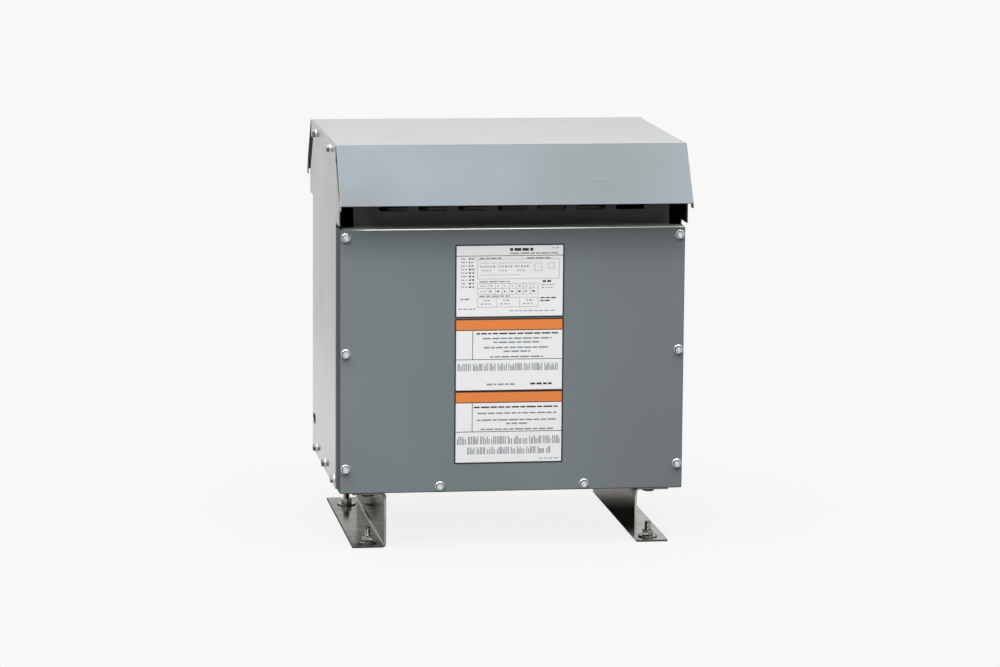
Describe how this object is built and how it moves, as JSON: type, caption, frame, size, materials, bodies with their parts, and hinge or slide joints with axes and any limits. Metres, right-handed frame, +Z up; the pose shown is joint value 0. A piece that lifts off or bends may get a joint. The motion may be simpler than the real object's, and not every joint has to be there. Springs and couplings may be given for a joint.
{
  "type": "three-phase dry-type transformer",
  "caption": "Ventilated dry-type three-phase transformer in a grey sheet-steel box with a sloping drip hood, vents under the skirts and two steel channel feet.",
  "frame": {"origin": "on the floor under the middle of the drip hood", "axes": "+Z up, -Y out of the front cover that is screwed on, +X to the right as seen from the front"},
  "size_m": [0.5076, 0.482, 0.57],
  "materials": {
    "hood_paint": "semi-gloss grey powder coat on sheet steel",
    "cover_paint": "semi-gloss grey powder coat on sheet steel",
    "panel_paint": "semi-gloss grey powder coat on sheet steel",
    "base_paint": "semi-gloss grey powder coat on sheet steel",
    "stainless_channel": "brushed stainless steel, folded",
    "foot_hardware": "plain steel studs, nuts and washers",
    "zinc_fasteners": "bright zinc plated steel",
    "core_laminations": "stacked silicon steel under dark varnish",
    "clamp_paint": "grey painted steel channel",
    "former_board": "pressed insulating board",
    "low_winding_varnish": "foil conductor and paper under amber varnish",
    "high_winding_varnish": "wound conductor under amber varnish",
    "glass_polyester": "glass polyester sticks and blocks",
    "terminal_board_laminate": "red glass polyester laminate",
    "pad_rubber": "black rubber isolation pads",
    "copper_bar": "bare copper bar",
    "lug_aluminium": "tin plated aluminium"
  },
  "bodies": {
    "root": {"base_bolts": "foot_hardware", "base_nuts": "foot_hardware", "base_pan": "base_paint", "board_screws": "zinc_fasteners", "clamp_bolts": "zinc_fasteners", "clamp_nuts": "zinc_fasteners", "coil_former_a": "former_board", "coil_former_b": "former_board", "coil_former_c": "former_board", "core_legs_and_lower_yoke": "core_laminations", "core_mount_bolts": "zinc_fasteners", "core_mount_nuts": "zinc_fasteners", "duct_sticks_a": "glass_polyester", "duct_sticks_b": "glass_polyester", "duct_sticks_c": "glass_polyester", "foot_nuts": "foot_hardware", "foot_studs": "foot_hardware", "foot_washers": "foot_hardware", "front_cover": "cover_paint", "front_cover_screws": "zinc_fasteners", "ground_lug": "lug_aluminium", "ground_lug_screw": "zinc_fasteners", "ground_strap": "copper_bar", "high_terminal_board": "terminal_board_laminate", "high_terminal_straps": "copper_bar", "high_winding_a": "high_winding_varnish", "high_winding_b": "high_winding_varnish", "high_winding_c": "high_winding_varnish", "hood": "hood_paint", "isolation_pads": "pad_rubber", "left_foot": "stainless_channel", "left_hood_screws": "zinc_fasteners", "left_side_panel": "panel_paint", "left_side_screws": "zinc_fasteners", "low_terminal_board": "terminal_board_laminate", "low_terminal_straps": "copper_bar", "low_winding_a": "low_winding_varnish", "low_winding_b": "low_winding_varnish", "low_winding_c": "low_winding_varnish", "lower_coil_blocks": "glass_polyester", "lower_front_clamp": "clamp_paint", "lower_rear_clamp": "clamp_paint", "phase_jumpers": "copper_bar", "rear_panel": "panel_paint", "rear_panel_screws": "zinc_fasteners", "right_foot": "stainless_channel", "right_hood_screws": "zinc_fasteners", "right_side_panel": "panel_paint", "right_side_screws": "zinc_fasteners", "terminal_nuts": "copper_bar", "terminal_studs": "copper_bar", "upper_coil_blocks": "glass_polyester", "upper_front_clamp": "clamp_paint", "upper_rear_clamp": "clamp_paint", "upper_yoke": "core_laminations"}
  },
  "joints": []
}
